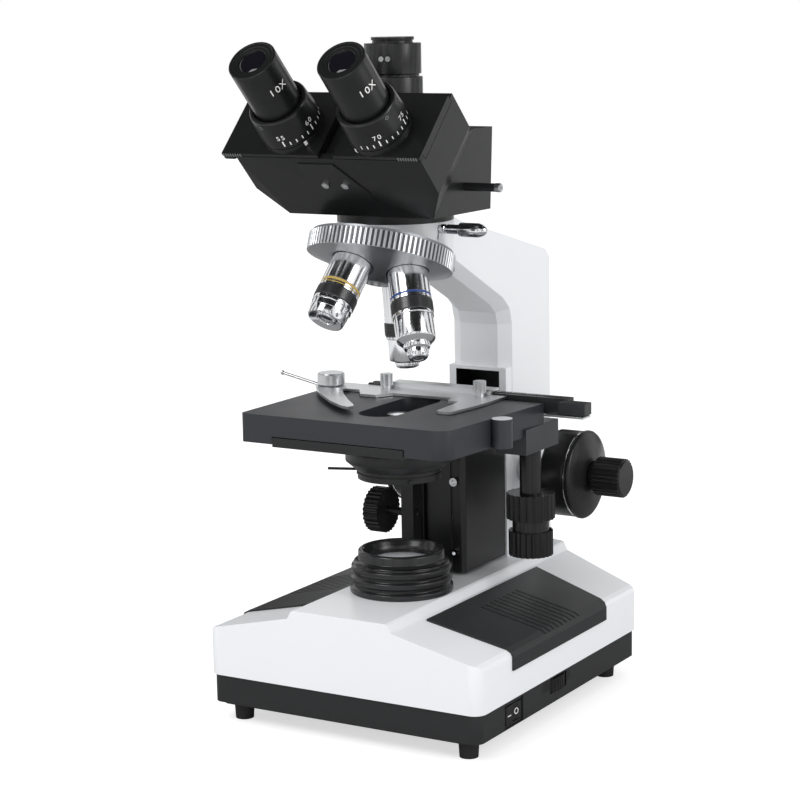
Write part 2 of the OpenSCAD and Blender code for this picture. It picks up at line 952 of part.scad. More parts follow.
module turret() {
    // The front face lies just past the objective seats
    face_d = seat_d + 4.4;
    color([0.72, 0.73, 0.75])
        difference() {
            at_turret() {
                rotate_extrude()
                    polygon([[6.05, rim_z], [rim_r - 1.2, rim_z], [rim_r - 1.2, rim_z + rim_h],
                        [rim_r - 3.4, rim_z + rim_h + 0.6], [8, face_d], [6.05, face_d]]);
                translate([0, 0, rim_z])
                    ribbed_disc(rim_r, 0.7, 90, rim_h);
            }
            at_turret()
                translate([0, 0, rim_z - 1])
                    cylinder(r = 6 + run_gap, h = 40);
            for (i = [0 : 3])
                at_objective(turret_turn + i * 90) {
                    translate([0, 0, seat_d - thread_len - 0.5])
                        cylinder(r = thread_r, h = thread_len + 2);
                    translate([0, 0, seat_d - 30])
                        cylinder(r = thread_r + 0.5, h = 30 - thread_len - 0.4);
                    translate([0, 0, seat_d - 0.4])
                        cylinder(r = 12.3, h = 20);
                }
        }
}

// The profile's heights count from the seat
module objective_shell(turn, profile) {
    at_objective(turn)
        translate([0, 0, seat_d])
            rotate_extrude()
                polygon(concat([[6, -thread_len], [thread_r - 0.06, -thread_len], [thread_r - 0.06, 0], [11.75, 0]],
                    profile));
}

module ten_objective() {
    color([0.83, 0.84, 0.86])
        objective_shell(turret_turn + 180, [[11.75, 19.6], [11.2, 20], [11.2, 22.4], [11.75, 22.8], [11.75, 32],
            [11.3, 32.5], [11.3, 37], [10.5, 42], [5, 42], [5, 39], [6, 38]]);
}

module forty_objective() {
    color([0.83, 0.84, 0.86])
        objective_shell(turret_turn + 90, [[11.75, 16.6], [11.2, 17], [11.2, 19.4], [11.75, 19.8], [11.75, 28],
            [11.3, 28.5], [11.3, 36], [10.65, 45], [6.4, 46], [5.35, 54.6], [3, 55], [3, 52], [6, 44]]);
}

module hundred_objective() {
    color([0.83, 0.84, 0.86])
        objective_shell(turret_turn, [[11.75, 14.6], [11.2, 15], [11.2, 17.4], [11.75, 17.8], [11.75, 28],
            [10.4, 29], [10.4, 41], [7, 43.6], [6.25, 44], [6.25, 48.4], [5, 50], [2.4, 50], [2.4, 48],
            [6, 40]]);
}

// Head

module head_section() {
    polygon([[head_half, 0], [head_half, -27], [head_low_half, -48.65], [-head_low_half, -48.65],
        [-head_half, -27], [-head_half, 0]]);
}

module head_prism(len) {
    at_face()
        translate([0, len, 0])
            rotate([90, 0, 0])
                linear_extrude(len)
                    head_section();
}

module head_body() {
    color([0.12, 0.13, 0.14])
        difference() {
            union() {
                difference() {
                    head_prism(face_len);
                    translate([-100, -100, head_bottom - 50])
                        cube([200, 200, 50]);
                }
                intersection() {
                    head_prism(75);
                    translate([-100, -60, head_bottom])
                        cube([200, 60 + head_back, head_top - head_bottom]);
                }
                rotate([90, 0, 90])
                    translate([0, 0, -head_low_half])
                        linear_extrude(2 * head_low_half)
                            polygon([[-38.1, head_bottom], [head_back - 1.5, head_bottom],
                                [head_back + 1.5, head_top], [-10, head_top], [-24, head_bottom + 20]]);
                // Dovetail under the head
                translate([0, 0, nose_top - 5.9])
                    cylinder(r = seat_bore_r, h = head_bottom - nose_top + 7);
            }
            // Light path
            translate([0, 0, nose_top - 7])
                cylinder(r = 10, h = 30);
            // Slot of the beam lever
            translate([head_low_half - 30, -2, 305])
                along_x()
                    cylinder(r = 2.4 + run_gap, h = 40);
            // Channel of the eyepiece slides
            at_face()
                translate([-100, 4, -3])
                    cube([200, 41.4, 10]);
            // Openings under the eyepiece tubes
            for (s = [-1, 1])
                at_eye(s)
                    translate([0, 0, -20])
                        cylinder(r = 10, h = 30);
            // Bore of the photo tube
            translate([0, 0, head_top - 8])
                cylinder(r = 15, h = 30);
            translate([0, 0, head_top])
                cylinder(r = 17.1, h = 30);
        }
}

module head_plate() {
    color([0.13, 0.14, 0.15])
        at_face()
            translate([-20.5, -1, 0])
                rotate([90, 0, 0])
                    translate([0, 0, -0.95])
                        linear_extrude(1)
                            polygon([[0, -4], [23, -4], [36, -27], [36, -34], [0, -34]]);
}

module plate_screws() {
    color([0.82, 0.82, 0.84])
        at_face()
            for (x = [-9.4, 3.4])
                translate([x, -1.05, -20.5])
                    rotate([90, 0, 0])
                        difference() {
                            cylinder(r = 2.2, h = 1.2);
                            translate([0, 0, 0.6])
                                cylinder(r = 1.1, h = 2, $fn = 6);
                        }
}

module photo_tube() {
    color([0.1, 0.1, 0.11])
        difference() {
            union() {
                translate([0, 0, head_top - 8])
                    cylinder(r = 14.95, h = 9);
                translate([0, 0, head_top])
                    cylinder(r = 17, h = 29.3);
                translate([0, 0, head_top + 29])
                    cylinder(r = 15, h = 3);
                translate([0, 0, head_top + 31])
                    cylinder(r = port_r, h = 17.3);
            }
            translate([0, 0, head_top - 9])
                cylinder(r = 10, h = 80);
            translate([0, 0, head_top + 20])
                cylinder(r = 11.7, h = 60);
        }
}

module tube_screws() {
    color([0.85, 0.85, 0.87])
        for (a = [-82, -69])
            rotate([0, 0, a])
                translate([port_r, 0, 376.7])
                    along_x()
                        cylinder(r = 1.5, h = 0.8, $fn = 24);
}

module photo_cap() {
    color([0.09, 0.09, 0.1])
        translate([0, 0, head_top + 48.5]) {
            translate([0, 0, -9])
                cylinder(r = 11.6, h = 10);
            cylinder(r = 11.4, h = 2);
            translate([0, 0, 1.5])
                cylinder(r = 12.3, h = port_top - head_top - 50);
        }
}

module beam_lever() {
    color([0.12, 0.12, 0.13])
        translate([head_low_half - 18, -2, 305])
            along_x() {
                cylinder(r = 2.4, h = 37.4);
                translate([0, 0, 37])
                    cylinder(r = 1.9, h = 2.6);
            }
}

module slide_block(side, x0, x1) {
    color([0.11, 0.12, 0.13])
        difference() {
            union() {
                at_face()
                    translate([x0, 4.3, -2.7])
                        cube([x1 - x0, 40.8, 5.1]);
                // Cover plate out to the front edge
                at_face()
                    translate([x0, 0.2, 0.3])
                        cube([x1 - x0, 44.9, 2.1]);
                at_eye(side)
                    cylinder(r = 18, h = 6);
                at_eye(side)
                    cylinder(r = 12.6, h = 24);
            }
            at_eye(side)
                translate([0, 0, -5])
                    cylinder(r = 11.6 + run_gap, h = 40);
        }
}

module left_slide() {
    slide_block(-1, -69, -5);
}

module right_slide() {
    slide_block(1, 5, 60);
}

module scale_ring(side) {
    color([0.11, 0.12, 0.13])
        at_eye(side)
            translate([0, 0, 6.2])
                difference() {
                    union() {
                        cylinder(r = 17.4, h = 5);
                        translate([0, 0, 4.9])
                            cylinder(r1 = 17.4, r2 = 16.6, h = 6.4);
                        translate([0, 0, 11.2])
                            cylinder(r1 = 16.6, r2 = 15.6, h = 1.6);
                    }
                    translate([0, 0, -1])
                        cylinder(r = 12.6 + run_gap, h = 30);
                }
}

module left_ring() {
    scale_ring(-1);
}

module right_ring() {
    scale_ring(1);
}

module eyepiece(side) {
    color([0.12, 0.13, 0.14])
        at_eye(side)
            rotate_extrude()
                polygon([[8, -2], [11.6, -2], [11.6, 24.4], [eye_r, 24.4], [eye_r, eye_top - 0.8],
                    [eye_r - 0.8, eye_top], [eye_r - 3, eye_top], [8, eye_top - 3]]);
}

module left_eyepiece() {
    eyepiece(-1);
}

module right_eyepiece() {
    eyepiece(1);
}

bottom_plate();
feet();
base_pan();
base_cover();
left_pad();
right_pad();
switch_frame();
rocker_switch();
brightness_wheel();
power_inlet();
lamp_housing();
lamp_window();
arm();
dovetail_ring();
nosepiece_mount();
focus_block();
block_screws();
condenser_rail();
stage_base();
coarse_shaft();
right_coarse_knob();
left_coarse_knob();
fine_shaft();
right_fine_knob();
left_fine_knob();
stage_plate();
stage_post();
slide_rail();
scale_strip();
forward_knob();
sideways_knob();
slide_holder();
holder_screws();
clamp_finger();
clamp_knob();
condenser_holder();
condenser_ring();
condenser_lens();
centring_screws();
condenser_knob();
iris_lever();
turret();
ten_objective();
forty_objective();
hundred_objective();
head_screw();
head_body();
head_plate();
plate_screws();
photo_tube();
tube_screws();
photo_cap();
beam_lever();
left_slide();
right_slide();
left_ring();
right_ring();
left_eyepiece();
right_eyepiece();
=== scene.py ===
import json
import math

import bpy
from mathutils import Matrix, Vector


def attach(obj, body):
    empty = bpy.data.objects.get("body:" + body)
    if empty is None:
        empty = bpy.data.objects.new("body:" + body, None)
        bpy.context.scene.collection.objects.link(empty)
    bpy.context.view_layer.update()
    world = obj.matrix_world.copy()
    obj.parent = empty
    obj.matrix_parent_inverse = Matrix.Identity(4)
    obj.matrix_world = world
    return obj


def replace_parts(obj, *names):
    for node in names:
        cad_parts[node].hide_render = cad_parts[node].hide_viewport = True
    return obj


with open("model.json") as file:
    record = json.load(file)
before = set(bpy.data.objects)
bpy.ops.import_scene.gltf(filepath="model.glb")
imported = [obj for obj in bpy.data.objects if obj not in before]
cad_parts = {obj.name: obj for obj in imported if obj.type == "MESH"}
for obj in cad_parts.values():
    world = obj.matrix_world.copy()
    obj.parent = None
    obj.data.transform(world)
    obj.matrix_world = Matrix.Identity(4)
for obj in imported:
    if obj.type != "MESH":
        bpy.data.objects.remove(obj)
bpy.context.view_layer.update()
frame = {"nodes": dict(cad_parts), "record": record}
MM = 0.001


# --- Where things are -----------------------------------------------------------------------------

def move(x, y, z):
    return Matrix.Translation((x * MM, y * MM, z * MM))


def turn(degrees, axis):
    return Matrix.Rotation(math.radians(degrees), 4, axis)


# In mm and degrees. The nosepiece's and the light's axes cross at APEX
APEX = 310.0
TILT = 21.0
TURRET_TURN = 10.0
RIM_R, RIM_Z, RIM_H = 42.5, 41.6, 10.0
STAGE_TOP = 172.65
PLATEAU = 64.7
FLOOR_Z = -9.65
KNOB_X, KNOB_Y, KNOB_Z = 45, 116, 118
EYE_X, EYE_Y = 28.4, 18.6
# The face of the head that carries the eyepieces
FACE = move(0, -72.5, 324.4) @ turn(45, "X")


def objective_place(place_turn):
    return move(0, 0, APEX) @ turn(180 - TILT, "X") @ turn(place_turn, "Z") @ turn(TILT, "X")


def turret_place():
    return move(0, 0, APEX) @ turn(180 - TILT, "X")


def eye_place(side):
    return FACE @ move(side * EYE_X, EYE_Y, 0)


def beam_place(x, y, z):
    """Facing the user's right, with up along +Z."""
    return move(x, y, z) @ turn(90, "Z") @ turn(90, "X")


# --- Finishes -------------------------------------------------------------------------------------

class Wire:
    """One value in a finish, on which sums can be written."""

    def __init__(self, tree, out):
        self.tree, self.out = tree, out

    def _sum(self, how, first, second=0.0):
        node = self.tree.nodes.new("ShaderNodeMath")
        node.operation = how
        for socket, value in zip(node.inputs, (first, second)):
            if isinstance(value, Wire):
                self.tree.links.new(value.out, socket)
            else:
                socket.default_value = value
        return Wire(self.tree, node.outputs[0])

    def __add__(self, other):
        return self._sum("ADD", self, other)

    def __radd__(self, other):
        return self._sum("ADD", other, self)

    def __sub__(self, other):
        return self._sum("SUBTRACT", self, other)

    def __rsub__(self, other):
        return self._sum("SUBTRACT", other, self)

    def __mul__(self, other):
        return self._sum("MULTIPLY", self, other)

    __rmul__ = __mul__

    def above(self, limit):
        return self._sum("GREATER_THAN", self, limit)

    def below(self, limit):
        return self._sum("LESS_THAN", self, limit)

    def between(self, low, high):
        return self.above(low) * self.below(high)

    def size(self):
        return self._sum("ABSOLUTE", self)

    def repeat(self, step):
        """Distance from the nearest whole step, from 0 to half a step."""
        return self._sum("PINGPONG", self, step / 2)

    def angle(self, across):
        return self._sum("ARCTAN2", self, across)


class Finish:
    """A procedural finish on Object coordinates."""

    def __init__(self, name, colour, rough, metallic=0.0, **fixed):
        self.mat = bpy.data.materials.new(name)
        self.mat.use_nodes = True
        self.tree = self.mat.node_tree
        self.shader = self.tree.nodes["Principled BSDF"]
        self.shown = (*colour, 1.0)
        self.set("Base Color", self.shown)
        self.set("Roughness", rough)
        self.set("Metallic", metallic)
        for socket, value in fixed.items():
            self.set(socket.replace("_", " "), value)
        self.place = self.node("ShaderNodeTexCoord", out="Object")

    def set(self, socket, value):
        if isinstance(value, Wire):
            self.tree.links.new(value.out, self.shader.inputs[socket])
        else:
            self.shader.inputs[socket].default_value = value

    def node(self, kind, out=0, settings=None, **inputs):
        made = self.tree.nodes.new(kind)
        for key, value in (settings or {}).items():
            setattr(made, key, value)
        for key, value in inputs.items():
            socket = made.inputs[key.replace("_", " ")]
            if isinstance(value, Wire):
                self.tree.links.new(value.out, socket)
            else:
                socket.default_value = value
        return Wire(self.tree, made.outputs[out])

    def noise(self, scale, detail=3.0, stretch=(1, 1, 1)):
        place = self.node("ShaderNodeMapping", Vector=self.place, Scale=stretch)
        return self.node("ShaderNodeTexNoise", "Fac", Vector=place, Scale=scale, Detail=detail)

    def along(self, direction, start):
        """Distance in metres along a direction from a point."""
        dot = self.node("ShaderNodeVectorMath", "Value", {"operation": "DOT_PRODUCT"})
        node = dot.out.node
        self.tree.links.new(self.place.out, node.inputs[0])
        node.inputs[1].default_value = direction
        return dot - Vector(direction).dot(Vector(start))

    def bump(self, height, depth_mm, strength=1.0):
        normal = self.node("ShaderNodeBump", Strength=strength, Distance=depth_mm * MM, Height=height)
        self.set("Normal", normal)

    def paint(self, mask, colour):
        """Another colour over what is there already, where the mask is 1."""
        mix = self.tree.nodes.new("ShaderNodeMix")
        mix.data_type = "RGBA"
        self.tree.links.new(mask.out, mix.inputs["Factor"])
        if isinstance(self.shown, Wire):
            self.tree.links.new(self.shown.out, mix.inputs["A"])
        else:
            mix.inputs["A"].default_value = self.shown
        mix.inputs["B"].default_value = (*colour, 1.0)
        self.shown = Wire(self.tree, mix.outputs["Result"])
        self.set("Base Color", self.shown)

    def within(self, low_mm, high_mm):
        """1 inside a box between two corners in mm."""
        mask = 1.0
        for i, (low, high) in enumerate(zip(low_mm, high_mm)):
            direction = [0, 0, 0]
            direction[i] = 1
            mask = self.along(direction, (0, 0, 0)).between(low * MM, high * MM) * mask
        return mask


def enamel(name, colour, rough, grain_mm=0.5, depth_mm=0.01, shade=0.9, shine=0.5):
    """Sprayed enamel: a faint orange peel and a slightly uneven gloss."""
    made = Finish(name, colour, rough, Specular_IOR_Level=shine)
    peel = made.noise(1 / (grain_mm * MM), 2.0)
    broad = made.noise(14.0, 2.0)
    made.paint(broad, [c * shade for c in colour])
    made.set("Roughness", broad * 0.12 + (rough - 0.06))
    made.bump(peel, depth_mm)
    return made


def moulded(name, colour, rough, grain_mm=0.35, depth_mm=0.02):
    made = Finish(name, colour, rough, Specular_IOR_Level=0.36)
    grain = made.noise(1 / (grain_mm * MM), 3.0)
    broad = made.noise(22.0, 2.0)
    made.paint(broad, [c * 1.35 for c in colour])
    made.set("Roughness", broad * 0.15 + (rough - 0.07))
    made.bump(grain, depth_mm)
    return made


def turned_metal(name, colour, rough, stretch=(1, 1, 1), depth_mm=0.004):
    made = Finish(name, colour, rough, 1.0)
    lines = made.noise(900.0, 2.0, stretch)
    made.set("Roughness", lines * 0.12 + (rough - 0.06))
    made.bump(lines, depth_mm)
    return made


WHITE_COLOUR = (0.80, 0.815, 0.835)
BASE_COLOUR = (0.020, 0.021, 0.022)
HEAD_COLOUR = (0.0085, 0.009, 0.0095)
STAGE_COLOUR = (0.027, 0.029, 0.034)
RAIL_COLOUR = (0.022, 0.023, 0.025)
ALLOY_COLOUR = (0.57, 0.58, 0.60)
STEEL_COLOUR = (0.68, 0.69, 0.70)
TICK_DARK = (0.05, 0.05, 0.05)
# Painted shade: in the arm's slot and the wheel's slot, between the rim's ribs and in the lamp's grooves
SHADE = (0.006, 0.006, 0.007)
RIM_GAP_SHADE = (0.09, 0.09, 0.095)
POST_TOP_COLOUR = (0.55, 0.56, 0.58)
GROOVE_SHADE = (0.002, 0.002, 0.002)
MARK_WHITE = (0.82, 0.82, 0.80)

# Two corners each, in mm: where painted shade fills the arm's slot and the wheel's slot, and where the post's top
# is painted lighter
ARM_SLOT_SHADE = ((-15.25, 95.7, 65.8), (15.25, 114.2, 182.35))
POST_TOP = ((60, -5, STAGE_TOP - 0.06), (75, 12, STAGE_TOP + 1))
WHEEL_SLOT_SHADE = ((89.2, 6.5, 10.8), (91, 42.0, 17.0))
# Heights above the plateau, and the radius outside of which the grooves lie and get painted shade
LAMP_GROOVES = ((3.9, 6.3), (10.3, 12.5), (16.5, 18.6))
LAMP_GROOVE_R = 25.9


def head_enamel(name):
    return enamel(name, HEAD_COLOUR, 0.3, grain_mm=0.3, depth_mm=0.01, shine=0.5)


FINISHES = {
    "white_paint": enamel("white_paint", WHITE_COLOUR, 0.34, shade=0.97),
    "base_dark": enamel("base_dark", BASE_COLOUR, 0.4, grain_mm=0.4, depth_mm=0.02, shine=0.4),
    "pad_black": moulded("pad_black", (0.017, 0.018, 0.019), 0.45),
    "rubber": moulded("rubber", (0.016, 0.016, 0.017), 0.7),
    "black_plastic": moulded("black_plastic", (0.009, 0.009, 0.0095), 0.27, depth_mm=0.006),
    "black_metal": enamel("black_metal", (0.013, 0.0135, 0.0145), 0.34, shine=0.42),
    "head_black": head_enamel("head_black"),
    "stage_grey": enamel("stage_grey", STAGE_COLOUR, 0.4, grain_mm=0.3, depth_mm=0.012, shine=0.4),
    "grey_metal": turned_metal("grey_metal", (0.30, 0.31, 0.33), 0.4),
    "satin_alloy": turned_metal("satin_alloy", ALLOY_COLOUR, 0.34),
    "steel": turned_metal("steel", STEEL_COLOUR, 0.3, (1, 6, 1)),
    "chrome": turned_metal("chrome", (0.78, 0.79, 0.81), 0.14, depth_mm=0.001),
    "glass": Finish("glass", (0.62, 0.63, 0.66), 0.12, Coat_Weight=0.6, Coat_Roughness=0.05),
}


def local_lines(made, place):
    """Distances along a place's own X, -Y and Z, from its origin."""
    start = place @ Vector((0, 0, 0))
    return [made.along(place.to_3x3() @ Vector(v), start) for v in ((1, 0, 0), (0, -1, 0), (0, 0, 1))]


def arm_finish():
    """White enamel, with painted shade inside the slot that the focus block runs in."""
    made = enamel("arm_enamel", WHITE_COLOUR, 0.34, shade=0.97)
    made.paint(made.within(*ARM_SLOT_SHADE), SHADE)
    return made


def rim_finish():
    """Turned alloy, with painted shade between the ribs of the rim."""
    made = turned_metal("rim_alloy", ALLOY_COLOUR, 0.34)
    across, out, up = local_lines(made, turret_place())
    gap = (across * across + out * out).below(((RIM_R - 0.42) * MM) ** 2)
    made.paint(gap * up.between((RIM_Z + 0.2) * MM, (RIM_Z + RIM_H - 0.2) * MM), RIM_GAP_SHADE)
    return made


RING_R = 18.2
# Degrees between ticks and between longer ones, half a tick's width and the ticks' ends in mm
TICK_STEP = 12.0
TICK_GROUP = 60.0
HALF_TICK = 0.3
TICK_FOOT, TICK_END, LONG_TICK_END = 8.4, 10.7, 12.2


def ring_finish(name, side, anchor, before, after):
    """Satin black with white ticks on both sides of an angle, a longer one at each group's start."""
    made = head_enamel(name)
    across, out, up = local_lines(made, eye_place(side))
    angle = across.angle(out) - math.radians(anchor)
    half_tick = HALF_TICK / RING_R
    shown = angle.between(-math.radians(before) - half_tick * 2, math.radians(after) + half_tick * 2)
    short = angle.repeat(math.radians(TICK_STEP)).below(half_tick)
    short = short * up.between(TICK_FOOT * MM, TICK_END * MM)
    long = angle.repeat(math.radians(TICK_GROUP)).below(half_tick * 1.3)
    long = long * up.between(TICK_FOOT * MM, LONG_TICK_END * MM)
    made.paint(shown * short, MARK_WHITE)
    made.paint(shown * long, MARK_WHITE)
    return made


def slide_finish(name, side, pointer):
    """Satin black with a white pointer on the collar."""
    made = head_enamel(name)
    across, out, up = local_lines(made, eye_place(side))
    off = (across.angle(out) - math.radians(pointer)).size()
    collar = (across * across + out * out).above((17.6 * MM) ** 2)
    made.paint(off.below(0.05) * up.between(3.0 * MM, 5.9 * MM) * collar, MARK_WHITE)
    return made


def scale_finish(made, tone, axis, start, end, low, high):
    """Ticks every 2 mm along X above a height, every fifth one longer."""
    along_x = made.along((1, 0, 0), (0, 0, 0))
    y, z = made.along((0, 1, 0), (0, 0, 0)), made.along((0, 0, 1), (0, 0, 0))
    face = z.above(axis * MM) * along_x.between(start * MM, end * MM)
    short = along_x.repeat(2 * MM).below(0.22 * MM) * y.between(low * MM, (low + high) / 2 * MM)
    long = along_x.repeat(10 * MM).below(0.3 * MM) * y.between(low * MM, high * MM)
    made.paint(face * short, tone)
    made.paint(face * long, tone)
    return made


# Degrees: the first long tick, and how far the ticks go before and after it
LEFT_SCALE, RIGHT_SCALE = (16, 0, 120), (31, 36, 84)


def post_finish():
    """The stage's colour, painted lighter on the post's top face."""
    made = enamel("post_enamel", STAGE_COLOUR, 0.42, grain_mm=0.3, depth_mm=0.012)
    made.paint(made.within(*POST_TOP), POST_TOP_COLOUR)
    return made


def lamp_finish():
    """Satin black, with painted shade in the grooves between the ridges."""
    made = enamel("lamp_enamel", (0.014, 0.0145, 0.0155), 0.26, shine=0.5)
    x, y, z = (made.along(v, (0, 0, PLATEAU * MM)) for v in ((1, 0, 0), (0, 1, 0), (0, 0, 1)))
    for low, high in LAMP_GROOVES:
        outside = (x * x + y * y).above((LAMP_GROOVE_R * MM) ** 2)
        made.paint(outside * z.between(low * MM, high * MM), GROOVE_SHADE)
    return made


def pan_finish():
    """Charcoal enamel, with painted shade in the slot round the brightness wheel."""
    made = enamel("pan_enamel", BASE_COLOUR, 0.4, grain_mm=0.4, depth_mm=0.02, shine=0.4)
    made.paint(made.within(*WHEEL_SLOT_SHADE), SHADE)
    return made


OWN_FINISHES = {
    "arm": arm_finish(),
    "turret": rim_finish(),
    "left_slide": slide_finish("left_slide_mark", -1, 51),
    "right_slide": slide_finish("right_slide_mark", 1, -28),
    "lamp_housing": lamp_finish(),
    "scale_strip": scale_finish(turned_metal("strip_marks", STEEL_COLOUR, 0.3, (1, 6, 1)), TICK_DARK,
                                STAGE_TOP - 5.2, 70.5, 95.5, 49.0, 55.5),
    "slide_rail": scale_finish(enamel("rail_marks", RAIL_COLOUR, 0.4), MARK_WHITE,
                               STAGE_TOP + 2.7, -50, 60, 64.8, 68.4),
    "stage_post": post_finish(),
    "base_pan": pan_finish(),
    "iris_lever": FINISHES["black_metal"],
    "centring_screws": FINISHES["black_metal"],
    "plate_screws": FINISHES["steel"],
    "tube_screws": FINISHES["steel"],
}

for part in frame["record"]["subparts"]:
    node = frame["nodes"][part["node"]]
    node.data.materials.clear()
    node.data.materials.append(OWN_FINISHES.get(part["node"], FINISHES[part["material_slot"]]).mat)


# --- Soft edges on the CAD pieces -----------------------------------------------------------------

SOFT_EDGES_MM = {
    "base_cover": 1.6, "base_pan": 1.0, "bottom_plate": 0.5, "left_pad": 0.35, "right_pad": 0.35,
    "arm": 1.0, "switch_frame": 0.3, "rocker_switch": 0.5, "focus_block": 0.4, "condenser_rail": 0.4,
    "stage_base": 0.5, "stage_plate": 0.9, "slide_rail": 0.4, "scale_strip": 0.15, "slide_holder": 0.3,
    "clamp_finger": 0.35, "condenser_holder": 0.5, "head_body": 0.6, "head_plate": 0.15,
    "left_slide": 0.4, "right_slide": 0.4,
    "power_inlet": 0.4, "right_fine_knob": 0.2, "left_fine_knob": 0.2,
    "forward_knob": 0.25, "sideways_knob": 0.25, "condenser_knob": 0.25, "turret": 0.15,
    "lamp_housing": 0.4, "photo_tube": 0.3, "photo_cap": 0.3, "feet": 0.5,
}

for name, width in SOFT_EDGES_MM.items():
    node = frame["nodes"][name]
    node.modifiers.new("Join corners", "WELD").merge_threshold = 0.002 * MM
    bevel = node.modifiers.new("Soft edges", "BEVEL")
    bevel.width = width * MM
    bevel.segments = 3
    bevel.limit_method = "ANGLE"
    bevel.angle_limit = math.radians(32)
    bevel.use_clamp_overlap = True
    bevel.harden_normals = True


# --- Modelling ------------------------------------------------------------------------------------

def fresh():
    """Nothing selected, in object mode."""
    if bpy.context.object and bpy.context.object.mode != "OBJECT":
        bpy.ops.object.mode_set(mode="OBJECT")
    bpy.ops.object.select_all(action="DESELECT")


def settle(obj, name, body, finish, place, smooth=35.0):
    """Puts a finished piece in its place, gives it its finish and lets it ride on its body."""
    fresh()
    obj.select_set(True)
    bpy.context.view_layer.objects.active = obj
    obj.name = name
    obj.matrix_world = place
    bpy.ops.object.transform_apply(location=True, rotation=True, scale=True)
    bpy.ops.object.shade_smooth_by_angle(angle=math.radians(smooth))
    obj.data.materials.clear()
    obj.data.materials.append(FINISHES[finish].mat)
    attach(obj, body)
    return obj


def lathe(profile, sides=72, ring=True, flutes=0, depth=0.95):
    """A turned shape: a circle drawn up through the profile's radii and heights in mm, or a fluted one."""
    fresh()
    (radius, height), rest = profile[0], list(profile[1:])
    bpy.ops.mesh.primitive_circle_add(vertices=sides, radius=radius * MM, location=(0, 0, 0),
                                      fill_type="NOTHING" if ring else "NGON")
    obj = bpy.context.object
    if flutes:
        for v in obj.data.vertices:
            v.select = v.index % (sides // flutes) < 2
        bpy.ops.object.mode_set(mode="EDIT")
        bpy.ops.mesh.select_mode(type="VERT")
        bpy.ops.transform.resize(value=(depth, depth, 1), center_override=(0, 0, 0))
        bpy.ops.object.mode_set(mode="OBJECT")
    bpy.ops.object.mode_set(mode="EDIT")
    bpy.ops.mesh.select_mode(type="VERT")
    bpy.ops.mesh.select_all(action="SELECT")
    bpy.ops.transform.translate(value=(0, 0, height * MM))
    if ring:
        rest.append(profile[0])
    for wide, high in rest:
        bpy.ops.mesh.extrude_region_move(TRANSFORM_OT_translate={"value": (0, 0, (high - height) * MM)})
        bpy.ops.transform.resize(value=(wide / radius, wide / radius, 1), center_override=(0, 0, high * MM))
        radius, height = wide, high
    bpy.ops.mesh.select_all(action="SELECT")
    bpy.ops.mesh.remove_doubles(threshold=1e-6)
    bpy.ops.mesh.normals_make_consistent(inside=False)
    bpy.ops.object.mode_set(mode="OBJECT")
    return obj


def rib(obj, low, high, margin, lift, first=0):
    """Every other outer face between two heights stands out as a rib."""
    fresh()
    bpy.context.view_layer.objects.active = obj
    obj.select_set(True)
    bpy.ops.object.mode_set(mode="EDIT")
    bpy.ops.mesh.select_mode(type="FACE")
    bpy.ops.mesh.select_all(action="DESELECT")
    bpy.ops.object.mode_set(mode="OBJECT")
    sides = [f for f in obj.data.polygons if low * MM < f.center.z < high * MM
             and f.normal.xy.dot(f.center.xy) > 0 and abs(f.normal.z) < 0.3]
    sides.sort(key=lambda f: math.atan2(f.center.y, f.center.x))
    for face in sides[first::2]:
        face.select = True
    bpy.ops.object.mode_set(mode="EDIT")
    bpy.ops.mesh.inset(thickness=margin * MM, depth=lift * MM, use_individual=True)
    bpy.ops.object.mode_set(mode="OBJECT")
    return obj


# --- Objectives -----------------------------------------------------------------------------------

def add_colour(name, colour, rough=0.3, **fixed):
    FINISHES[name] = Finish(name, colour, rough, **fixed)


add_colour("yellow_band", (0.48, 0.34, 0.08), 0.35, Coat_Weight=0.2)
add_colour("blue_band", (0.014, 0.055, 0.26), 0.35, Coat_Weight=0.2)
add_colour("dark_glass", (0.010, 0.010, 0.014), 0.05, Coat_Weight=1.0, Coat_Roughness=0.02)
add_colour("eye_glass", (0.006, 0.006, 0.009), 0.04,
           Specular_IOR_Level=0.3, Coat_Weight=0.3, Coat_Roughness=0.02)
# A pale grey for the slide grips' teeth and the ring pins, lighter than the black round them
add_colour("pale_grey", (0.14, 0.145, 0.15), 0.4)
add_colour("knurl_black", (0.022, 0.022, 0.024), 0.28, Specular_IOR_Level=0.7)
add_colour("white_mark", MARK_WHITE, 0.5)

